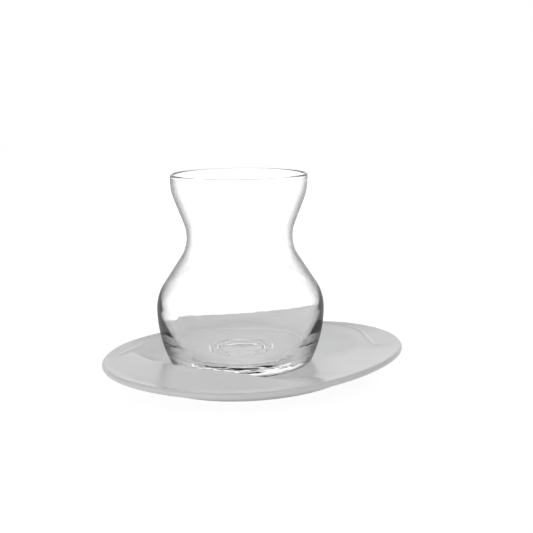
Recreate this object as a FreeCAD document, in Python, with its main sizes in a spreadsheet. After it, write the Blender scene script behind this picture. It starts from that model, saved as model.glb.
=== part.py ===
import FreeCAD, Part
import Sketcher
import math
import os

# A waisted tea glass of clear glass, standing in the well of its oval porcelain saucer.
# Millimetres, +Z up. The origin is the middle of the saucer's foot, and +X runs along the
# saucer's long axis. The glass stands a little off the saucer's middle.

doc = FreeCAD.newDocument("tea_glass")

# ---------------------------------------------------------------- driving dimensions
sheet = doc.addObject("Spreadsheet::Sheet", "Sizes")
SIZES = [
    ("glass_height", 83.9, "foot to the top of the lip"),
    ("rim_radius", 30.0, "outside, where the lip is widest"),
    ("rim_turn", 2.3, "the widest place of the lip lies this far below its top"),
    ("waist_radius", 23.25, "outside, at the narrowest place"),
    ("waist_height", 56.5, "of the narrowest place"),
    ("belly_radius", 37.0, "outside, at the widest place"),
    ("belly_height", 24.8, "of the widest place"),
    ("neck_run", 11.2, "straight part of the section between lip and waist"),
    ("waist_curve", 16.5, "section radius of the waist, outside"),
    ("flank_run", 14.0, "straight part of the section between waist and belly, outside"),
    ("foot_curve", 54.0, "section radius of the belly's lower half, outside"),
    ("heel_curve", 4.2, "rounding between the wall and the foot"),
    ("wall", 1.5, "thickness from the lip to below the waist"),
    ("belly_wall", 1.4, "thickness at the belly"),
    ("inner_belly_height", 27.0, "of the widest place inside"),
    ("inner_flank_run", 11.5, "straight part of the section between waist and belly, inside"),
    ("inner_side_curve", 36.0, "section radius of the belly's lower half, inside"),
    ("inner_heel_curve", 2.5, "rounding between the side and the floor, inside"),
    ("floor_curve", 120.0, "section radius of the dished floor, inside"),
    ("base_thickness", 3.0, "glass under the lowest place inside"),
    ("punt_radius", 15.3, "hollow pressed into the foot"),
    ("punt_depth", 1.2, "of that hollow"),
    ("saucer_length", 139.0, "rim, along X"),
    ("saucer_width", 110.0, "rim, along Y"),
    ("saucer_height", 11.6, "foot to the top of the rim"),
    ("lip_thickness", 2.6, "of the porcelain at the rim"),
    ("foot_length", 90.0, "foot ring, along X"),
    ("foot_width", 72.0, "foot ring, along Y"),
    ("foot_ring_width", 4.0, "of the ring that the saucer stands on"),
    ("foot_recess", 1.5, "depth of the hollow inside the ring"),
    ("bed_height", 9.7, "of the flat bed between the well and the rim"),
    ("bed_slope_run", 3.0, "width of the slope from the bed up to the rim"),
    ("well_floor", 5.0, "height of the floor that the glass stands on"),
    ("well_reach_x", 15.2, "the top of the well lies this far outside its floor, along X"),
    ("well_reach_y", 4.2, "the same, along Y"),
    ("well_shift_x", 8.8, "middle of the top of the well from the glass's axis"),
    ("well_shift_y", 0.5, "the same, along Y"),
    ("glass_x", -2.8, "the glass's axis from the saucer's middle"),
    ("glass_y", 8.5, "the glass's axis from the saucer's middle"),
    ("glass_clearance", 1.2, "well floor beyond the heel of the glass, all round"),
]
for row, (name, value, note) in enumerate(SIZES, start=1):
    sheet.set(f"A{row}", name)
    sheet.set(f"B{row}", str(value))
    sheet.set(f"C{row}", note)
    sheet.setAlias(f"B{row}", name)
doc.recompute()


def size(name):
    """The value that the sheet holds under this name."""
    return float(getattr(sheet, name))


# ---------------------------------------------------------------- section of the glass
def cross_tangent(centre_a, radius_a, centre_b, radius_b, side):
    """Ends of the straight run that touches circle a and then, on its other side, circle b."""
    span = centre_b - centre_a
    turn = math.atan2(span.y, span.x) + side * math.acos((radius_a + radius_b) / span.Length)
    normal = FreeCAD.Vector(math.cos(turn), math.sin(turn), 0)
    return centre_a + normal * radius_a, centre_b - normal * radius_b


def angle_of(centre, point):
    return math.atan2(point.y - centre.y, point.x - centre.x)


def arc(centre, radius, start, end):
    """Arc from the angle start, counter-clockwise, to the angle end."""
    return Part.ArcOfCircle(Part.Circle(centre, FreeCAD.Vector(0, 0, 1), radius), start, end)


def shared_curve(across, along, run):
    """Sum of the radii of two arcs that end upright, this far apart, joined by a straight run."""
    return (across ** 2 + along ** 2 - run ** 2) / (2 * across)


def nestled(centre_a, reach_a, centre_b, reach_b):
    """The lower right of the two points at these distances from two centres."""
    span = centre_b - centre_a
    along = (span.Length ** 2 + reach_a ** 2 - reach_b ** 2) / (2 * span.Length)
    aside = math.sqrt(reach_a ** 2 - along ** 2)
    unit = span / span.Length
    return centre_a + unit * along + FreeCAD.Vector(unit.y, -unit.x, 0) * aside


def swung_wall(shoulder, shoulder_radius, waist, waist_radius, belly, belly_radius):
    """The lip's arc, neck, waist, flank and belly's arc of one side of the wall, lip first."""
    neck_top, neck_low = cross_tangent(shoulder, shoulder_radius, waist, waist_radius, 1)
    flank_low, flank_top = cross_tangent(belly, belly_radius, waist, waist_radius, -1)
    return [
        arc(shoulder, shoulder_radius, angle_of(shoulder, neck_top), lip_angle),
        Part.LineSegment(neck_top, neck_low),
        arc(waist, waist_radius, angle_of(waist, neck_low) % (2 * math.pi),
            angle_of(waist, flank_top) % (2 * math.pi)),
        Part.LineSegment(flank_top, flank_low),
        arc(belly, belly_radius, 0, angle_of(belly, flank_low)),
    ]


half_wall = size("wall") / 2
widest_lip_height = size("glass_height") - size("rim_turn")
shoulder_curve = shared_curve(size("rim_radius") - size("waist_radius"),
                              widest_lip_height - size("waist_height"),
                              size("neck_run")) - size("waist_curve")
belly_curve = shared_curve(size("belly_radius") - size("waist_radius"),
                           size("waist_height") - size("belly_height"),
                           size("flank_run")) - size("waist_curve")
shoulder_centre = FreeCAD.Vector(size("rim_radius") - shoulder_curve, widest_lip_height, 0)
waist_centre = FreeCAD.Vector(size("waist_radius") + size("waist_curve"), size("waist_height"), 0)
belly_centre = FreeCAD.Vector(size("belly_radius") - belly_curve, size("belly_height"), 0)
foot_centre = FreeCAD.Vector(size("belly_radius") - size("foot_curve"), size("belly_height"), 0)

# the heel's circle touches the plane of the foot and, from inside, the foot curve
heel_rise = size("belly_height") - size("heel_curve")
heel_reach = math.sqrt((size("foot_curve") - size("heel_curve")) ** 2 - heel_rise ** 2)
heel_centre = FreeCAD.Vector(foot_centre.x + heel_reach, size("heel_curve"), 0)
heel_angle = angle_of(foot_centre, heel_centre)

inner_radius = size("belly_radius") - size("belly_wall")
inner_belly_curve = shared_curve(inner_radius - (size("waist_radius") - size("wall")),
                                 size("waist_height") - size("inner_belly_height"),
                                 size("inner_flank_run")) - (size("waist_curve") + size("wall"))
inner_belly_centre = FreeCAD.Vector(inner_radius - inner_belly_curve,
                                    size("inner_belly_height"), 0)

# the inner heel's circle touches the side's and the floor's circles from inside
inner_side_centre = FreeCAD.Vector(inner_radius - size("inner_side_curve"),
                                   size("inner_belly_height"), 0)
floor_centre = FreeCAD.Vector(0, size("base_thickness") + size("floor_curve"), 0)
inner_heel_centre = nestled(inner_side_centre, size("inner_side_curve") - size("inner_heel_curve"),
                            floor_centre, size("floor_curve") - size("inner_heel_curve"))
inner_side_angle = angle_of(inner_side_centre, inner_heel_centre)
inner_floor_angle = angle_of(floor_centre, inner_heel_centre)

punt_curve = (size("punt_radius") ** 2 + size("punt_depth") ** 2) / (2 * size("punt_depth"))
punt_centre = FreeCAD.Vector(0, size("punt_depth") - punt_curve, 0)
punt_edge = FreeCAD.Vector(size("punt_radius"), 0, 0)

# the lip is a half circle across the wall, where the wall's middle reaches its height
lip_angle = math.asin((size("rim_turn") - half_wall) / (shoulder_curve - half_wall))
lip_offset = FreeCAD.Vector(math.cos(lip_angle), math.sin(lip_angle), 0)
lip_centre = shoulder_centre + lip_offset * (shoulder_curve - half_wall)

glass = doc.addObject("PartDesign::Body", "Glass")
glass.Label = "glass"
section = glass.newObject("Sketcher::SketchObject", "GlassSection")
upright = next(o for o in glass.Origin.OriginFeatures if o.Role == "XZ_Plane")
section.AttachmentSupport = [(upright, "")]
section.MapMode = "FlatFace"

CURVES = ["punt", "foot", "heel", "foot_curve",
          "shoulder", "neck", "waist", "flank", "belly",
          "lip",
          "inner_shoulder", "inner_neck", "inner_waist", "inner_flank", "inner_belly",
          "inner_side", "inner_heel", "floor", "axis"]
g = {name: index for index, name in enumerate(CURVES)}
section.addGeometry(
    [arc(punt_centre, punt_curve, angle_of(punt_centre, punt_edge), math.pi / 2),
     Part.LineSegment(punt_edge, FreeCAD.Vector(heel_centre.x, 0, 0)),
     arc(heel_centre, size("heel_curve"), -math.pi / 2, heel_angle),
     arc(foot_centre, size("foot_curve"), heel_angle, 0)]
    + swung_wall(shoulder_centre, shoulder_curve, waist_centre, size("waist_curve"),
                 belly_centre, belly_curve)
    + [arc(lip_centre, half_wall, lip_angle, lip_angle + math.pi)]
    + swung_wall(shoulder_centre, shoulder_curve - size("wall"),
                 waist_centre, size("waist_curve") + size("wall"),
                 inner_belly_centre, inner_belly_curve)
    + [arc(inner_side_centre, size("inner_side_curve"), inner_side_angle, 0),
       arc(inner_heel_centre, size("inner_heel_curve"), inner_floor_angle, inner_side_angle),
       arc(floor_centre, size("floor_curve"), -math.pi / 2, inner_floor_angle),
       Part.LineSegment(FreeCAD.Vector(0, size("base_thickness"), 0),
                        FreeCAD.Vector(0, size("punt_depth"), 0))], False)

# the widest place of the lip, a construction point on the shoulder's arc
g["widest_lip"] = section.addGeometry(
    Part.Point(FreeCAD.Vector(size("rim_radius"), widest_lip_height, 0)), True)

START, END, CENTRE = 1, 2, 3
ORIGIN, UPRIGHT_AXIS, LEVEL_AXIS = -1, -2, -1
SMOOTH_JOINTS = [
    ("foot", END, "heel", START), ("heel", END, "foot_curve", START),
    ("foot_curve", END, "belly", START), ("belly", END, "flank", END),
    ("flank", START, "waist", END), ("waist", START, "neck", END),
    ("neck", START, "shoulder", START), ("shoulder", END, "lip", START),
    ("lip", END, "inner_shoulder", END), ("inner_shoulder", START, "inner_neck", START),
    ("inner_neck", END, "inner_waist", START), ("inner_waist", END, "inner_flank", START),
    ("inner_flank", END, "inner_belly", END), ("inner_belly", START, "inner_side", END),
    ("inner_side", START, "inner_heel", END), ("inner_heel", START, "floor", END),
]
for first, first_end, second, second_end in SMOOTH_JOINTS:
    section.addConstraint(
        Sketcher.Constraint("Tangent", g[first], first_end, g[second], second_end))
PLAIN_JOINTS = [
    ("punt", START, "foot", START), ("punt", END, "axis", END), ("floor", START, "axis", START),
    ("shoulder", CENTRE, "inner_shoulder", CENTRE), ("waist", CENTRE, "inner_waist", CENTRE),
]
for first, first_end, second, second_end in PLAIN_JOINTS:
    section.addConstraint(
        Sketcher.Constraint("Coincident", g[first], first_end, g[second], second_end))
for curve, end in [("axis", START), ("axis", END), ("punt", CENTRE), ("floor", CENTRE)]:
    section.addConstraint(Sketcher.Constraint("PointOnObject", g[curve], end, UPRIGHT_AXIS))
section.addConstraint(
    Sketcher.Constraint("PointOnObject", g["widest_lip"], START, g["shoulder"]))
section.addConstraint(
    Sketcher.Constraint("Horizontal", g["widest_lip"], START, g["shoulder"], CENTRE))
section.addConstraint(Sketcher.Constraint("Horizontal", g["foot"]))
section.addConstraint(Sketcher.Constraint("PointOnObject", g["foot"], START, LEVEL_AXIS))
for curve in ("foot_curve", "inner_side"):
    section.addConstraint(Sketcher.Constraint("Horizontal", g[curve], CENTRE, g[curve], END))


def dimension(kind, curve, end, expression):
    """Bind a radius, a run's length, or a point's place across (X) or up (Y), to the sheet."""
    if kind == "Radius":
        start_value = section.Geometry[g[curve]].Radius
        index = section.addConstraint(Sketcher.Constraint(kind, g[curve], start_value))
    elif kind == "Distance":
        start_value = section.Geometry[g[curve]].length()
        index = section.addConstraint(Sketcher.Constraint(kind, g[curve], start_value))
    else:
        point = section.getPoint(g[curve], end)
        start_value = point.x if kind == "DistanceX" else point.y
        index = section.addConstraint(
            Sketcher.Constraint(kind, ORIGIN, START, g[curve], end, start_value))
    section.setExpression(f"Constraints[{index}]", expression)


dimension("Radius", "heel", None, "Sizes.heel_curve")
dimension("Radius", "foot_curve", None, "Sizes.foot_curve")
dimension("Radius", "waist", None, "Sizes.waist_curve")
dimension("Radius", "lip", None, "Sizes.wall / 2")
dimension("Radius", "inner_waist", None, "Sizes.waist_curve + Sizes.wall")
dimension("Radius", "inner_side", None, "Sizes.inner_side_curve")
dimension("Radius", "inner_heel", None, "Sizes.inner_heel_curve")
dimension("Radius", "floor", None, "Sizes.floor_curve")
dimension("Distance", "neck", None, "Sizes.neck_run")
dimension("Distance", "flank", None, "Sizes.flank_run")
dimension("Distance", "inner_flank", None, "Sizes.inner_flank_run")
dimension("DistanceX", "punt", START, "Sizes.punt_radius")
dimension("DistanceY", "punt", END, "Sizes.punt_depth")
dimension("DistanceX", "foot_curve", END, "Sizes.belly_radius")
dimension("DistanceY", "foot_curve", END, "Sizes.belly_height")
dimension("DistanceX", "waist", CENTRE, "Sizes.waist_radius + Sizes.waist_curve")
dimension("DistanceY", "waist", CENTRE, "Sizes.waist_height")
dimension("DistanceX", "widest_lip", START, "Sizes.rim_radius")
dimension("DistanceY", "widest_lip", START, "Sizes.glass_height - Sizes.rim_turn")
dimension("DistanceY", "lip", CENTRE, "Sizes.glass_height - Sizes.wall / 2")
dimension("DistanceX", "inner_side", END, "Sizes.belly_radius - Sizes.belly_wall")
dimension("DistanceY", "inner_side", END, "Sizes.inner_belly_height")
dimension("DistanceY", "floor", START, "Sizes.base_thickness")

blown = glass.newObject("PartDesign::Revolution", "GlassBlown")
blown.Profile = section
blown.ReferenceAxis = (section, ["V_Axis"])
blown.Angle = 360
glass.Tip = blown
glass.setExpression("Placement.Base.x", "Sizes.glass_x")
glass.setExpression("Placement.Base.y", "Sizes.glass_y")
glass.setExpression("Placement.Base.z", "Sizes.well_floor")
doc.recompute()


# ---------------------------------------------------------------- saucer
def oval(name, length, width, height, middle_x="0", middle_y="0"):
    """A level ellipse. Each argument is an expression in the sheet's names, in millimetres."""
    ring = doc.addObject("Part::Ellipse", name)
    ring.setExpression("MajorRadius", f"({length}) / 2")
    ring.setExpression("MinorRadius", f"({width}) / 2")
    ring.setExpression("Placement.Base.x", middle_x)
    ring.setExpression("Placement.Base.y", middle_y)
    ring.setExpression("Placement.Base.z", height)
    return ring


def lofted(name, *rings):
    """Solid skinned over level ellipses, from the lowest to the highest."""
    loft = doc.addObject("Part::Loft", name)
    loft.Sections = list(rings)
    loft.Solid = True
    loft.Ruled = True
    return loft


def cut(name, base, tool):
    result = doc.addObject("Part::Cut", name)
    result.Base = base
    result.Tool = tool
    return result


# outside: from the foot ring out to the rim
outside = lofted(
    "SaucerOutside",
    oval("FootEdge", "Sizes.foot_length", "Sizes.foot_width", "0"),
    oval("RimUnder", "Sizes.saucer_length", "Sizes.saucer_width",
         "Sizes.saucer_height - Sizes.lip_thickness"),
    oval("RimTop", "Sizes.saucer_length", "Sizes.saucer_width", "Sizes.saucer_height"))

# hollow inside the foot ring
foot_hollow = lofted(
    "FootHollow",
    oval("HollowLow", "Sizes.foot_length - 2 * Sizes.foot_ring_width",
         "Sizes.foot_width - 2 * Sizes.foot_ring_width", "0"),
    oval("HollowTop", "Sizes.foot_length - 2 * Sizes.foot_ring_width - 2 * Sizes.foot_recess",
         "Sizes.foot_width - 2 * Sizes.foot_ring_width - 2 * Sizes.foot_recess",
         "Sizes.foot_recess"))

# dish: a flat bed inside the rim
dish = lofted(
    "Dish",
    oval("BedEdge", "Sizes.saucer_length - 2 * Sizes.lip_thickness - 2 * Sizes.bed_slope_run",
         "Sizes.saucer_width - 2 * Sizes.lip_thickness - 2 * Sizes.bed_slope_run",
         "Sizes.bed_height"),
    oval("DishEdge", "Sizes.saucer_length - 2 * Sizes.lip_thickness",
         "Sizes.saucer_width - 2 * Sizes.lip_thickness", "Sizes.saucer_height"))

# well: a round floor under the heel of the glass, sloping up to an oval in the bed
heel_outside = ("Sizes.belly_radius - Sizes.foot_curve + Sizes.heel_curve"
                " + sqrt((Sizes.foot_curve - Sizes.heel_curve)^2"
                " - (Sizes.belly_height - Sizes.heel_curve)^2)")
floor_across = f"2 * ({heel_outside} + Sizes.glass_clearance)"
well = lofted(
    "Well",
    oval("WellFloor", floor_across, floor_across,
         "Sizes.well_floor", "Sizes.glass_x", "Sizes.glass_y"),
    oval("WellEdge", f"{floor_across} + 2 * Sizes.well_reach_x",
         f"{floor_across} + 2 * Sizes.well_reach_y", "Sizes.bed_height",
         "Sizes.glass_x + Sizes.well_shift_x", "Sizes.glass_y + Sizes.well_shift_y"))

hollowed = cut("SaucerHollowed", outside, foot_hollow)
dished = cut("SaucerDished", hollowed, dish)
saucer = cut("SaucerWelled", dished, well)
saucer.Label = "saucer"
doc.recompute()

# ---------------------------------------------------------------- check and write
for item in doc.Objects:
    if "Invalid" in item.State or "Error" in item.State:
        raise RuntimeError(f"{item.Name} failed: {item.State}")
if section.solve() != 0 or not section.FullyConstrained:
    raise RuntimeError("the glass section is not fully constrained")

os.makedirs("parts", exist_ok=True)
for piece in (glass, saucer):
    shape = piece.Shape
    if shape.isNull() or not shape.isValid() or len(shape.Solids) != 1:
        raise RuntimeError(f"{piece.Label} is not one sound solid")
    shape.exportStep(f"parts/{piece.Label}.step")
    print(piece.Label, "volume", round(shape.Volume, 1), "mm3")
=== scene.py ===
"""A waisted clear tea glass, empty, standing in the well of an oval white porcelain saucer."""

import bpy
import numpy as np
from mathutils import Matrix, Vector


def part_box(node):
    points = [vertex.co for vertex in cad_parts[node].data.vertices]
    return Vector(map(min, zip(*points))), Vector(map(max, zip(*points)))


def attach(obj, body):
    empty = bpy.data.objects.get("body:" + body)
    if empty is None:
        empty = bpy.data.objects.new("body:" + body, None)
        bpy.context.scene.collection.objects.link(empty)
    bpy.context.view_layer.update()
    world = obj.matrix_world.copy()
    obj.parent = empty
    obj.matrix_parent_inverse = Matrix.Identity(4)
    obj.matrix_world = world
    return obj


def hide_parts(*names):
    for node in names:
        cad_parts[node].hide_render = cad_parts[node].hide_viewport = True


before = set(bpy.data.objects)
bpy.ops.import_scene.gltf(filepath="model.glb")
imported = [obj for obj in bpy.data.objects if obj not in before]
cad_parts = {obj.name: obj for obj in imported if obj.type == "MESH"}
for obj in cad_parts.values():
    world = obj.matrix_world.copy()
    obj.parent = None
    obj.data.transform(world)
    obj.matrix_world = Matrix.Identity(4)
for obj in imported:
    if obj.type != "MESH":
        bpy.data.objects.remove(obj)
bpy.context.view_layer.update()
scene = bpy.context.scene

MM = 0.001

# ------------------------------------------------------------------ the glass
# A waisted tea glass of clear soda-lime glass, blown into a mould: thin at the lip, which is
# melted round in the flame, and thick in the foot, which has a shallow hollow under it, the
# punt, with two fine mould rings.

glass_low, glass_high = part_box("glass")
glass_axis = Vector(((glass_low.x + glass_high.x) / 2, (glass_low.y + glass_high.y) / 2, 0))
glass_foot = glass_low.z / MM

glass_height = (glass_high.z - glass_low.z) / MM
belly_radius = (glass_high.x - glass_low.x) / 2 / MM
rim_radius = 30.0
rim_turn = 2.3              # the lip is widest this far below its top
neck_run = 11.2             # straight part of the section between lip and waist
waist_radius = 23.25
waist_height = 56.5
waist_curve = 16.5
flank_run = 14.0            # straight part between waist and belly
belly_height = 24.8
foot_curve = 54.0           # section radius of the belly's lower half
heel_curve = 4.2
wall = 1.5
belly_wall = 1.4
inner_belly_height = 27.0
inner_flank_run = 11.5
inner_side_curve = 36.0     # section radius inside, from the belly down to the heel
inner_heel_curve = 2.5
floor_curve = 120.0         # the inside of the foot is dished this much
base_thickness = 3.0
punt_radius = 15.3
punt_depth = 1.2
mould_rings = (10.7, 14.6)  # fine grooves that the mould leaves in the punt
ring_depth = 0.4
ring_width = 0.5
ring_step = 0.15            # from point to point across the rings


def shared_curve(across, along, run):
    """Sum of the radii of two arcs that end upright: (across^2 + along^2 - run^2) / 2 across."""
    return (across ** 2 + along ** 2 - run ** 2) / (2 * across)


def angle_of(centre, point):
    return np.arctan2(point[1] - centre[1], point[0] - centre[0])


def arc(centre, radius, start, end, step=0.8):
    """Points centre + radius (cos a, sin a), with a from start to end, about step mm apart."""
    count = max(3, int(abs(end - start) * radius / step) + 1)
    a = np.linspace(start, end, count)
    return centre + radius * np.stack([np.cos(a), np.sin(a)], 1)


def straight(first, last, step=0.8):
    count = max(2, int(np.hypot(*(last - first)) / step) + 1)
    return first + (last - first) * np.linspace(0, 1, count)[:, None]


def cross_tangent(centre_a, radius_a, centre_b, radius_b, side):
    """Ends of the line that touches circle a and, on its other side, circle b: its normal
    stands at acos((radius_a + radius_b) / distance) to the line between the centres."""
    span = centre_b - centre_a
    turn = np.arctan2(span[1], span[0]) + side * np.arccos((radius_a + radius_b) / np.hypot(*span))
    normal = np.array([np.cos(turn), np.sin(turn)])
    return centre_a + radius_a * normal, centre_b - radius_b * normal


def nestled(centre_a, reach_a, centre_b, reach_b):
    """The lower right of the two points at these distances from two centres."""
    span = centre_b - centre_a
    apart = np.hypot(*span)
    along = (apart ** 2 + reach_a ** 2 - reach_b ** 2) / (2 * apart)
    aside = np.sqrt(reach_a ** 2 - along ** 2)
    unit = span / apart
    return centre_a + along * unit + aside * np.array([unit[1], -unit[0]])


def swung_wall(shoulder, shoulder_radius, waist, waist_radius_, belly, belly_radius_, lip):
    """Belly arc, flank, waist arc, neck and shoulder arc of one side of the wall, going up."""
    neck_top, neck_low = cross_tangent(shoulder, shoulder_radius, waist, waist_radius_, 1)
    flank_low, flank_top = cross_tangent(belly, belly_radius_, waist, waist_radius_, -1)
    full_turn = 2 * np.pi
    return [
        arc(belly, belly_radius_, 0, angle_of(belly, flank_low)),
        straight(flank_low, flank_top),
        arc(waist, waist_radius_, angle_of(waist, flank_top) % full_turn,
            angle_of(waist, neck_low) % full_turn),
        straight(neck_low, neck_top),
        arc(shoulder, shoulder_radius, angle_of(shoulder, neck_top), lip),
    ]


def glass_section():
    """The closed half section as (radius, height) rows in mm, from the middle of the punt
    out along the foot, up the outside, over the lip and down the inside to the axis."""
    widest_lip = glass_height - rim_turn
    shoulder_radius = shared_curve(
        rim_radius - waist_radius, widest_lip - waist_height, neck_run) - waist_curve
    belly_curve = shared_curve(
        belly_radius - waist_radius, waist_height - belly_height, flank_run) - waist_curve
    inner_radius = belly_radius - belly_wall
    inner_belly_curve = shared_curve(
        inner_radius - (waist_radius - wall), waist_height - inner_belly_height,
        inner_flank_run) - (waist_curve + wall)
    shoulder = np.array([rim_radius - shoulder_radius, widest_lip])
    waist = np.array([waist_radius + waist_curve, waist_height])
    belly = np.array([belly_radius - belly_curve, belly_height])
    foot = np.array([belly_radius - foot_curve, belly_height])
    inner_belly = np.array([inner_radius - inner_belly_curve, inner_belly_height])
    inner_side = np.array([inner_radius - inner_side_curve, inner_belly_height])

    heel_reach = np.sqrt((foot_curve - heel_curve) ** 2 - (belly_height - heel_curve) ** 2)
    heel = np.array([foot[0] + heel_reach, heel_curve])
    heel_angle = angle_of(foot, heel)
    floor = np.array([0, base_thickness + floor_curve])
    inner_heel = nestled(inner_side, inner_side_curve - inner_heel_curve,
                         floor, floor_curve - inner_heel_curve)
    inner_side_angle = angle_of(inner_side, inner_heel)
    inner_floor_angle = angle_of(floor, inner_heel)
    punt_curve = (punt_radius ** 2 + punt_depth ** 2) / (2 * punt_depth)
    punt = np.array([0, punt_depth - punt_curve])
    punt_edge = np.array([punt_radius, 0.0])
    lip_angle = np.arcsin((rim_turn - wall / 2) / (shoulder_radius - wall / 2))
    lip = shoulder + (shoulder_radius - wall / 2) * np.array([np.cos(lip_angle), np.sin(lip_angle)])

    # each mould ring is a rounded groove in the punt: depth exp(-((r - ring) / width)^2)
    hollow = arc(punt, punt_curve, np.pi / 2, angle_of(punt, punt_edge), ring_step)
    for ring in mould_rings:
        hollow[:, 1] += ring_depth * np.exp(-((hollow[:, 0] - ring) / ring_width) ** 2)

    outside = swung_wall(shoulder, shoulder_radius, waist, waist_curve, belly, belly_curve,
                         lip_angle)
    inside = swung_wall(shoulder, shoulder_radius - wall, waist, waist_curve + wall,
                        inner_belly, inner_belly_curve, lip_angle)
    runs = [
        hollow,
        straight(punt_edge, np.array([heel[0], 0.0])),
        arc(heel, heel_curve, -np.pi / 2, heel_angle, 0.4),
        arc(foot, foot_curve, heel_angle, 0),
        *outside,
        arc(lip, wall / 2, lip_angle, lip_angle + np.pi, 0.2),
        *[run[::-1] for run in reversed(inside)],
        arc(inner_side, inner_side_curve, 0, inner_side_angle),
        arc(inner_heel, inner_heel_curve, inner_side_angle, inner_floor_angle, 0.4),
        arc(floor, floor_curve, inner_floor_angle, -np.pi / 2),
    ]
    section = np.concatenate(runs)
    keep = np.r_[True, np.hypot(*np.diff(section, axis=0).T) > 1e-6]
    return section[keep]


def grid_mesh(name, points):
    """A closed mesh over rings of points[ring, step, xyz], in mm, each ring joined to the next
    by quads. The first and the last ring are a single point, joined by triangles."""
    rings, steps = points.shape[:2]
    kept = np.ones((rings, steps), bool)
    kept[[0, -1], 1:] = False
    number = (np.cumsum(kept) - 1).reshape(rings, steps)
    after = np.roll(number, -1, axis=1)
    quads = np.stack([number[1:-2], after[1:-2], after[2:-1], number[2:-1]], -1)
    first_fan = np.stack([np.full(steps, number[0, 0]), after[1], number[1]], -1)
    last_fan = np.stack([np.full(steps, number[-1, 0]), number[-2], after[-2]], -1)
    faces = [*quads.reshape(-1, 4).tolist(), *first_fan.tolist(), *last_fan.tolist()]
    mesh = bpy.data.meshes.new(name)
    mesh.from_pydata((points[kept] * MM).tolist(), [], faces)
    mesh.polygons.foreach_set("use_smooth", np.ones(len(mesh.polygons), bool))
    mesh.update()
    piece = bpy.data.objects.new(name, mesh)
    scene.collection.objects.link(piece)
    return piece


glass_steps = 192
section = glass_section()
turn = np.linspace(0, 2 * np.pi, glass_steps, endpoint=False)
glass_points = np.stack([
    glass_axis.x / MM + section[:, :1] * np.cos(turn),
    glass_axis.y / MM + section[:, :1] * np.sin(turn),
    np.repeat(glass_foot + section[:, 1:], glass_steps, axis=1),
], -1)
glass = grid_mesh("tea_glass", glass_points)

# the material asks which side of the wall a point is on: 1 outside and underneath, 0 on the
# lip and inside
on_outside = np.arange(len(section)) <= np.argmax(section[:, 1] > glass_height - rim_turn)
ring_points = np.r_[1, np.full(len(section) - 2, glass_steps), 1]
side = glass.data.attributes.new("outer_side", "FLOAT", "POINT")
side.data.foreach_set("value", np.repeat(on_outside, ring_points).astype(np.float32))


def linear(hex_colour):
    """sRGB hex to linear: value / 12.92 below 0.04045, else ((value + 0.055) / 1.055) ^ 2.4."""
    parts = [int(hex_colour[i:i + 2], 16) / 255 for i in (1, 3, 5)]
    return tuple(v / 12.92 if v < 0.04045 else ((v + 0.055) / 1.055) ** 2.4
                 for v in parts) + (1.0,)


def node(tree, kind, links=(), **settings):
    """Adds a node. A setting named with in_ is a socket's value, and links are pairs of an
    input's name and the output that feeds it."""
    made = tree.nodes.new(kind)
    for name, value in settings.items():
        if name.startswith("in_"):
            made.inputs[name[3:].replace("_", " ")].default_value = value
        else:
            setattr(made, name, value)
    for name, source in links:
        tree.links.new(source, made.inputs[name])
    return made


def material(name):
    """An empty material and its node tree."""
    made = bpy.data.materials.new(name)
    made.use_nodes = True
    made.node_tree.nodes.clear()
    return made, made.node_tree


# Clear soda-lime glass, fire polished: IOR 1.5, mirror smooth and without a colour of its own.
# Faint ripples stay low on the outside, where the gather cooled against the mould, and fade up
# the wall. Seen from outside, the wall gets painted shade where it turns edge on: a dark grey
# see-through mix stands in for a dark outline that refraction alone doesn't give.
clear_glass, tree = material("soda_lime_glass")
ripple_spacing = 7.0        # from ripple to ripple round the glass
ripple_flatness = 5.0       # so many times closer together up the wall
ripple_depth = 0.12
ripples_start = 0.5         # height over the foot where they begin
ripples_end = 22.0          # height over the foot where only a trace of them is left
ripple_trace = 0.06
edge_shade_starts, edge_shade_full = 0.44, 0.8      # Layer Weight's Facing where the painted edge shade starts and is full: 0 square on, 1 edge on
edge_shade_share = 0.6            # painted shade: how much of the glass the dark edge mix takes over
edge_shade_grey = 0.1           # the grey of the painted edge shade: what it lets straight by
shadow_passes = 0.997       # clear glass keeps hardly any light off what stands behind it

place = node(tree, "ShaderNodeTexCoord").outputs["Object"]
spot = node(tree, "ShaderNodeSeparateXYZ", [("Vector", place)])
outer = node(tree, "ShaderNodeAttribute", attribute_name="outer_side").outputs["Fac"]
over_foot = node(tree, "ShaderNodeMapRange", [("Value", spot.outputs["Z"])],
                 interpolation_type="SMOOTHSTEP", in_From_Min=(glass_foot + ripples_start) * MM,
                 in_From_Max=(glass_foot + base_thickness) * MM)
fading = node(tree, "ShaderNodeMapRange", [("Value", spot.outputs["Z"])],
              interpolation_type="SMOOTHSTEP", in_From_Min=(glass_foot + heel_curve) * MM,
              in_From_Max=(glass_foot + ripples_end) * MM, in_To_Min=1.0,
              in_To_Max=ripple_trace)
flattened = node(tree, "ShaderNodeMapping", [("Vector", place)],
                 in_Scale=(1.0, 1.0, ripple_flatness))
ripples = node(tree, "ShaderNodeTexNoise", [("Vector", flattened.outputs[0])],
               in_Scale=1 / (ripple_spacing * MM), in_Detail=1.0)
relief = ripples.outputs["Fac"]
for share in (fading.outputs[0], over_foot.outputs[0], outer):
    relief = node(tree, "ShaderNodeMath", [(0, relief), (1, share)],
                  operation="MULTIPLY").outputs[0]
bump = node(tree, "ShaderNodeBump", [("Height", relief)], in_Strength=1.0,
            in_Distance=ripple_depth * MM)
body = node(tree, "ShaderNodeBsdfPrincipled", [("Normal", bump.outputs[0])],
            in_Base_Color=linear("#FFFFFF"), in_Roughness=0.0, in_IOR=1.5,
            in_Transmission_Weight=1.0)

# painted shade: seen from outside, where the outer wall turns edge on, part of the glass is swapped
# for a dark grey see-through, which draws the outline dark
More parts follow.
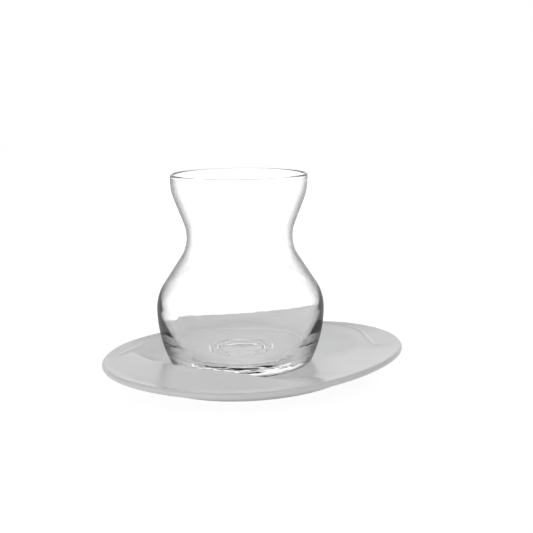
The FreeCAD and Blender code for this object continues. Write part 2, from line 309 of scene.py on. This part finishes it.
facing = node(tree, "ShaderNodeLayerWeight", in_Blend=0.5)
painted_edge_shade = node(tree, "ShaderNodeMapRange", [("Value", facing.outputs["Facing"])],
            interpolation_type="SMOOTHSTEP", in_From_Min=edge_shade_starts, in_From_Max=edge_shade_full,
            in_To_Min=0.0, in_To_Max=edge_shade_share)
from_within = node(tree, "ShaderNodeNewGeometry").outputs["Backfacing"]
from_without = node(tree, "ShaderNodeMath", [(0, outer), (1, from_within)],
                    operation="SUBTRACT", use_clamp=True)
painted_edge_shade = node(tree, "ShaderNodeMath", [(0, painted_edge_shade.outputs[0]), (1, from_without.outputs[0])],
            operation="MULTIPLY")

# shadow rays pass nearly whole, so that the saucer under the glass is lit like the rest; the
# same mix lays the painted edge shade on all other rays
shadow = node(tree, "ShaderNodeLightPath").outputs["Is Shadow Ray"]
shadow_pass_or_edge_shade = node(tree, "ShaderNodeMath", [(0, shadow), (1, painted_edge_shade.outputs[0])],
                   operation="MAXIMUM")
let_by_or_edge_grey = node(tree, "ShaderNodeMapRange", [("Value", shadow)], in_To_Min=edge_shade_grey,
              in_To_Max=shadow_passes)
clear_way_or_edge_shade = node(tree, "ShaderNodeBsdfTransparent", [("Color", let_by_or_edge_grey.outputs[0])])
lit_through_with_edge_shade = node(tree, "ShaderNodeMixShader", [(0, shadow_pass_or_edge_shade.outputs[0]),
                                                 (1, body.outputs["BSDF"]),
                                                 (2, clear_way_or_edge_shade.outputs[0])])
node(tree, "ShaderNodeOutputMaterial", [("Surface", lit_through_with_edge_shade.outputs[0])])
glass.data.materials.append(clear_glass)
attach(glass, "root")
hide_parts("glass")

# ------------------------------------------------------------------ the saucer
# An oval saucer of white porcelain, pressed in one piece and glazed all over but the foot
# ring. A sunken well holds the glass off-centre: its near left side is a steep step, and
# its other sides are long slopes that rise to a soft line inside the rim.

saucer_low, saucer_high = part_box("saucer")
half_length = (saucer_high.x - saucer_low.x) / 2 / MM
half_width = (saucer_high.y - saucer_low.y) / 2 / MM
axis_x, axis_y = glass_axis.x / MM, glass_axis.y / MM
well_floor = glass_foot
rim_wave_reach = 0.6        # how far the wavy rim's mean lies under the saucer's full height
rim_height = saucer_high.z / MM - rim_wave_reach
lip_round = 1.3
well_reach = 31.0           # the level floor of the well, from the glass's axis
foot_half_length, foot_half_width = 45.0, 36.0
foot_ring_width = 4.0
foot_recess = 1.5


def oval_reach(angle, half_x, half_y):
    """Distance from the glass's axis to an ellipse about the origin, in the direction angle:
    the larger root of ((x + r cos a) / half_x)^2 + ((y + r sin a) / half_y)^2 = 1."""
    a = (np.cos(angle) / half_x) ** 2 + (np.sin(angle) / half_y) ** 2
    b = 2 * (axis_x * np.cos(angle) / half_x ** 2 + axis_y * np.sin(angle) / half_y ** 2)
    c = (axis_x / half_x) ** 2 + (axis_y / half_y) ** 2 - 1
    return (-b + np.sqrt(b * b - 4 * a * c)) / (2 * a)


# Round the glass, by direction in degrees from +X: where the well's foot (valley) and its
# edge (crest) lie from the glass's axis and how high they are, and how far inside the rim
# the soft line runs and how high it is, all in mm.
WELL = np.array([
    # angle valley height  crest height  inset height
    [-24.0, 47.5, 6.0, 54.0, 8.2, 13.0, 9.6],
    [-14.5, 53.0, 7.2, 56.5, 8.8, 12.5, 9.5],
    [-8.5, 54.0, 7.6, 58.0, 9.0, 10.4, 9.5],
    [-2.0, 53.0, 7.6, 59.0, 9.2, 7.2, 9.6],
    [4.0, 50.0, 7.2, 58.5, 9.0, 4.6, 9.7],
    [12.0, 46.0, 6.8, 56.0, 8.6, 3.0, 9.9],
    [40.0, 38.5, 6.2, 46.0, 8.2, 2.6, 10.0],
    [90.0, 35.5, 6.2, 39.5, 8.2, 2.6, 9.8],
    [124.0, 37.0, 6.2, 41.0, 8.4, 3.6, 9.8],
    [135.0, 39.0, 6.2, 43.5, 8.7, 5.3, 9.7],
    [146.0, 43.0, 6.4, 46.5, 9.2, 7.2, 9.8],
    [154.0, 44.5, 5.6, 47.2, 10.0, 7.5, 10.1],
    [163.0, 41.6, 5.0, 43.9, 10.3, 5.2, 10.4],
    [172.0, 39.8, 5.0, 42.0, 10.4, 4.8, 10.6],
    [183.0, 36.2, 5.0, 38.3, 10.4, 5.0, 10.6],
    [198.0, 33.6, 5.0, 35.6, 10.4, 5.0, 10.4],
    [214.0, 32.6, 5.0, 34.6, 10.4, 5.0, 10.1],
    [230.0, 33.6, 5.0, 35.6, 10.4, 5.2, 9.9],
    [242.0, 36.0, 5.0, 38.6, 10.3, 5.4, 9.8],
    [254.0, 39.0, 5.0, 43.0, 9.8, 5.6, 9.8],
    [266.0, 40.0, 5.0, 46.0, 8.8, 5.8, 9.9],
    [288.0, 37.4, 5.1, 46.5, 7.4, 6.2, 10.1],
    [308.0, 36.8, 5.2, 45.0, 7.2, 6.8, 10.4],
    [320.0, 38.0, 5.4, 46.5, 7.4, 6.2, 10.5],
    [329.0, 42.0, 5.7, 49.5, 7.7, 5.6, 10.5],
])


def round_the_well(column, angle):
    """One column of WELL at any angle: a periodic cubic through the rows, whose slope at a
    row is that of the line between its neighbours (Catmull-Rom), limited to stay monotone."""
    a = np.radians(WELL[:, 0])
    v = WELL[:, column]
    a = np.r_[a[-2:] - 2 * np.pi, a, a[:2] + 2 * np.pi]
    v = np.r_[v[-2:], v, v[:2]]
    run, rise = np.diff(a), np.diff(v)
    slope = rise / run
    steep = np.zeros(len(a))
    inner = (slope[:-1] * run[1:] + slope[1:] * run[:-1]) / (run[:-1] + run[1:])
    limit = 3 * np.minimum(abs(slope[:-1]), abs(slope[1:]))
    same_way = slope[:-1] * slope[1:] > 0
    steep[1:-1] = np.where(same_way, np.sign(inner) * np.minimum(abs(inner), limit), 0)
    angle = (angle - a[2]) % (2 * np.pi) + a[2]
    k = np.clip(np.searchsorted(a, angle, side="right") - 1, 0, len(run) - 1)
    u = (angle - a[k]) / run[k]
    return (v[k] * (1 + 2 * u) * (1 - u) ** 2 + v[k + 1] * u * u * (3 - 2 * u)
            + run[k] * (steep[k] * u * (1 - u) ** 2 - steep[k + 1] * u * u * (1 - u)))


def hinge(x, width):
    """A bent line, rounded over width: (x + sqrt(x^2 + width^2)) / 2. It nears 0 far before
    x = 0 and x far after it."""
    return (x + np.sqrt(x * x + width * width)) / 2


saucer_steps = 384
around = np.linspace(0, 2 * np.pi, saucer_steps, endpoint=False)
rim = oval_reach(around, half_length, half_width)
rim_turn_angle = np.arctan2((axis_y + rim * np.sin(around)) / half_width,
                            (axis_x + rim * np.cos(around)) / half_length)
# the rim rises and falls twice on its way round, by about a millimetre
wave = (0.6 * np.cos(2 * rim_turn_angle) - 0.9 * np.sin(2 * rim_turn_angle)
        + 0.3 * np.sin(4 * rim_turn_angle))
rim_top = rim_height + wave
line_wave_share = 0.4       # how much of the rim's wave the line inside it follows
floor_edge = np.full(saucer_steps, well_reach)
valley, valley_height = round_the_well(1, around), round_the_well(2, around)
crest, crest_height = round_the_well(3, around), round_the_well(4, around)
line = rim - round_the_well(5, around)
line_height = round_the_well(6, around) + line_wave_share * wave
lip_inside = rim - lip_round


def near(angle, middle, reach):
    """1 at the middle angle and less on both sides: exp(-((angle - middle) / reach)^2), with
    the middle and the reach in degrees."""
    off = (np.degrees(angle) - middle + 180) % 360 - 180
    return np.exp(-(off / reach) ** 2)


# a fine bead runs along two stretches of the line, one at each end of the saucer
bead_height, bead_width = 0.55, 0.7
raised = np.clip(near(around, -7, 15) + near(around, 150, 14), 0, 1)

# the upper side, as the sum of one hinge at each bend of its section
bends = np.stack([floor_edge, valley, crest, line, lip_inside])
heights = np.stack([np.full(saucer_steps, well_floor), valley_height, crest_height,
                    line_height, rim_top])
slopes = np.diff(heights, axis=0) / np.diff(bends, axis=0)
# the well's bends are sharper where its side is steep (0 at a slope of 0.5, 1 at 2)
steepness = np.clip((slopes[1] - 0.5) / 1.5, 0, 1)
softness = np.stack([np.full(saucer_steps, 2.0), 4.0 - 3.4 * steepness,
                     3.0 - 2.5 * steepness, 1.4 - 0.8 * raised])


def upper_side(radius):
    """Height over the table at a distance from the glass's axis, for every direction: the
    well floor plus, for each bend, its change of slope times the hinge past it, less that
    hinge's value at the axis, about width^2 / (4 bend), plus the bead,
    height exp(-((radius - line) / width)^2)."""
    height = np.full_like(radius, well_floor)
    before = np.zeros(saucer_steps)
    for bend, slope, width in zip(bends, slopes, softness):
        height = height + (slope - before) * (hinge(radius - bend, width) - width * width
                                              / (4 * np.maximum(bend, 1)))
        before = slope
    bead = bead_height * raised * np.exp(-((radius - line) / bead_width) ** 2)
    return height + bead


def spread(low, high, count):
    """count rings between two radii for every direction, closer together near both."""
    s = (1 - np.cos(np.linspace(0, np.pi, count, endpoint=False))) / 2
    return low + (high - low) * s[:, None]


# the rings of the upper side stand close together at each bend
zero = np.zeros(saucer_steps)
top_radius = np.concatenate([
    spread(zero, floor_edge - 2, 8), spread(floor_edge - 2, valley, 18),
    spread(valley, crest, 18), spread(crest, line, 26), spread(line, lip_inside, 16)])
top_height = upper_side(top_radius)

# the lip is a half circle, then the underside sweeps in to the foot ring
lip_turn = np.linspace(0, np.pi, 12)[:, None]
lip_top = upper_side(lip_inside[None])[0]
lip_radius = lip_inside + lip_round * np.sin(lip_turn)
lip_height = lip_top - lip_round + lip_round * np.cos(lip_turn)
foot_out = oval_reach(around, foot_half_length, foot_half_width)
foot_in = oval_reach(around, foot_half_length - foot_ring_width, foot_half_width - foot_ring_width)
under = np.linspace(0, 1, 24)[1:, None]
foot_fillet = 1.0           # the underside meets the foot ring this far outside it
foot_rise = 1.2             # and this far over the table
under_bow = 0.8             # under 1, so that the underside is a little hollow
under_radius = lip_inside + (foot_out + foot_fillet - lip_inside) * under
under_low = lip_top - 2 * lip_round
under_height = foot_rise + (under_low - foot_rise) * (1 - under) ** under_bow
foot_profile = np.array([[0.6, 0.45], [0.1, 0.1], [-0.6, 0.0]])   # outwards, up
ring_out = [(foot_out + r, zero + h) for r, h in foot_profile]
ring_in = [(foot_in - r, zero + h) for r, h in foot_profile[::-1]]
hollow = np.linspace(0, 1, 14)[1:, None]
recess_edge = foot_in - 1.4
hollow_radius = recess_edge * (1 - hollow)
radii = np.concatenate([top_radius, lip_radius, under_radius,
                        [r for r, h in ring_out], [r for r, h in ring_in],
                        [recess_edge], hollow_radius])
levels = np.concatenate([top_height, lip_height, under_height,
                         [h for r, h in ring_out], [h for r, h in ring_in],
                         [zero + foot_recess], np.full_like(hollow_radius, foot_recess)])
saucer_points = np.stack([axis_x + radii * np.cos(around), axis_y + radii * np.sin(around),
                          levels], -1)[::-1]
saucer = grid_mesh("porcelain_saucer", saucer_points)

# Hard porcelain under a clear glaze: a white body with a smooth gloss. The glaze lies in a
# faint orange peel, and where it pools a little thicker it is a shade greyer and glossier.
porcelain, tree = material("glazed_porcelain")
peel_spacing = 1.6
peel_depth = 0.012
pool_spacing = 14.0
place = node(tree, "ShaderNodeTexCoord").outputs["Object"]
peel = node(tree, "ShaderNodeTexNoise", [("Vector", place)], in_Scale=1 / (peel_spacing * MM),
            in_Detail=2.0)
pools = node(tree, "ShaderNodeTexNoise", [("Vector", place)], in_Scale=1 / (pool_spacing * MM),
             in_Detail=3.0)
shade = node(tree, "ShaderNodeMixRGB", [("Fac", pools.outputs["Fac"])],
             in_Color1=linear("#E8E8E7"), in_Color2=linear("#E0E1E2"))
gloss = node(tree, "ShaderNodeMapRange", [("Value", pools.outputs["Fac"])], in_From_Min=0.3,
             in_From_Max=0.7, in_To_Min=0.24, in_To_Max=0.16)
bump = node(tree, "ShaderNodeBump", [("Height", peel.outputs["Fac"])], in_Strength=1.0,
            in_Distance=peel_depth * MM)
body = node(tree, "ShaderNodeBsdfPrincipled",
            [("Base Color", shade.outputs[0]), ("Roughness", gloss.outputs[0]),
             ("Normal", bump.outputs[0])],
            in_IOR=1.5, in_Subsurface_Weight=0.2, in_Subsurface_Radius=(1.0, 1.0, 1.0),
            in_Subsurface_Scale=1.2 * MM)
node(tree, "ShaderNodeOutputMaterial", [("Surface", body.outputs["BSDF"])])
saucer.data.materials.append(porcelain)
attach(saucer, "root")
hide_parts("saucer")

# ------------------------------------------------------------------ floor, light, camera
def seen_rays(tree):
    """1 for the rays that show the white background, which come from the camera, a glossy
    surface or the glass, and 0 for those that carry light to the object."""
    ray = node(tree, "ShaderNodeLightPath").outputs
    straight_or_mirrored = node(tree, "ShaderNodeMath", [(0, ray["Is Camera Ray"]),
                                                         (1, ray["Is Glossy Ray"])],
                                operation="MAXIMUM").outputs[0]
    return node(tree, "ShaderNodeMath", [(0, straight_or_mirrored),
                                         (1, ray["Is Transmission Ray"])],
                operation="MAXIMUM").outputs[0]


# A white table that still takes the saucer's shadow. Its glow is only seen: what it throws
# back on the object is what a matt white table would.
floor_mesh = bpy.data.meshes.new("table")
table_half = 4.0
floor_mesh.from_pydata([(-table_half, -table_half, 0), (table_half, -table_half, 0),
                        (table_half, table_half, 0), (-table_half, table_half, 0)],
                       [], [(0, 1, 2, 3)])
table = bpy.data.objects.new("table", floor_mesh)
scene.collection.objects.link(table)
white_table, tree = material("white_table")
table_glow, table_lit = 0.87, 0.34      # together white where no shadow falls
glow = node(tree, "ShaderNodeEmission", in_Color=(1, 1, 1, 1), in_Strength=table_glow)
lit = node(tree, "ShaderNodeBsdfDiffuse", in_Color=(table_lit, table_lit, table_lit, 1))
both = node(tree, "ShaderNodeAddShader", [(0, glow.outputs[0]), (1, lit.outputs[0])])
matt = node(tree, "ShaderNodeBsdfDiffuse", in_Color=linear("#F0F0F0"))
mix = node(tree, "ShaderNodeMixShader", [(0, seen_rays(tree)), (1, matt.outputs[0]),
                                         (2, both.outputs[0])])
node(tree, "ShaderNodeOutputMaterial", [("Surface", mix.outputs[0])])
table.data.materials.append(white_table)

world = bpy.data.worlds.new("studio")
scene.world = world
world.use_nodes = True
tree = world.node_tree
tree.nodes.clear()
way = node(tree, "ShaderNodeTexCoord").outputs["Generated"]
up = node(tree, "ShaderNodeSeparateXYZ", [("Vector", way)]).outputs["Z"]

# The room lights the object almost evenly. Seen directly, mirrored or through the glass, it
# is plain white.
room_level = node(tree, "ShaderNodeMapRange", [("Value", up)], in_From_Min=0.0,
                  in_From_Max=0.9, in_To_Min=0.4, in_To_Max=0.36)
room = node(tree, "ShaderNodeBackground", [("Strength", room_level.outputs[0])],
            in_Color=(1, 1, 1, 1))
plain_white = node(tree, "ShaderNodeBackground", in_Color=(1, 1, 1, 1), in_Strength=1.0)
sky = node(tree, "ShaderNodeMixShader", [(0, seen_rays(tree)), (1, room.outputs[0]),
                                         (2, plain_white.outputs[0])])
node(tree, "ShaderNodeOutputWorld", [("Surface", sky.outputs[0])])


# The camera stands in front of the saucer's near left side, a little above the glass.
long_axis_turn = np.radians(30.0)
standoff, eye_height = 420.8 * MM, 123.6 * MM
aim_down, aim_right, lean = np.radians(10.24), np.radians(1.59), np.radians(-0.54)
focal_ratio = 967 / 533
camera = bpy.data.objects.new("camera", bpy.data.cameras.new("camera"))
scene.collection.objects.link(camera)
camera.data.sensor_width = 36.0
camera.data.lens = focal_ratio * camera.data.sensor_width
back = Vector((-np.sin(long_axis_turn), -np.cos(long_axis_turn), 0))
camera.location = glass_axis + back * standoff + Vector((0, 0, eye_height))
camera.rotation_euler = (Matrix.Rotation(-long_axis_turn - aim_right, 3, "Z")
                         @ Matrix.Rotation(np.pi / 2 - aim_down, 3, "X")
                         @ Matrix.Rotation(lean, 3, "Z")).to_euler()
scene.camera = camera


def lamp(name, size, power, bearing, height, distance, shows):
    """A square soft box aimed at the belly of the glass, at a bearing in degrees from the
    camera. Only a lamp that shows is mirrored by the glass and the glaze."""
    light = bpy.data.lights.new(name, "AREA")
    light.shape = "SQUARE"
    light.size = size
    light.energy = power
    made = bpy.data.objects.new(name, light)
    scene.collection.objects.link(made)
    a = -long_axis_turn + np.radians(bearing)
    made.location = glass_axis + Vector((distance * np.sin(a), -distance * np.cos(a), height))
    aim = glass_axis + Vector((0, 0, 0.04)) - made.location
    made.rotation_euler = aim.to_track_quat("-Z", "Y").to_euler()
    made.visible_glossy = shows
    made.visible_transmission = shows


# the main lamp stands low behind the set, a weak one lifts the near lip, and a small one on
# the left puts a highlight on the glass
lamp("soft_box_behind", 0.8, 6.5, 165, 0.36, 0.9, False)
lamp("soft_box_front", 0.6, 3.5, -15, 0.05, 0.9, False)
lamp("soft_box_left", 0.3, 0.3, -64, 0.1, 0.7, True)

scene.view_settings.view_transform = "Standard"
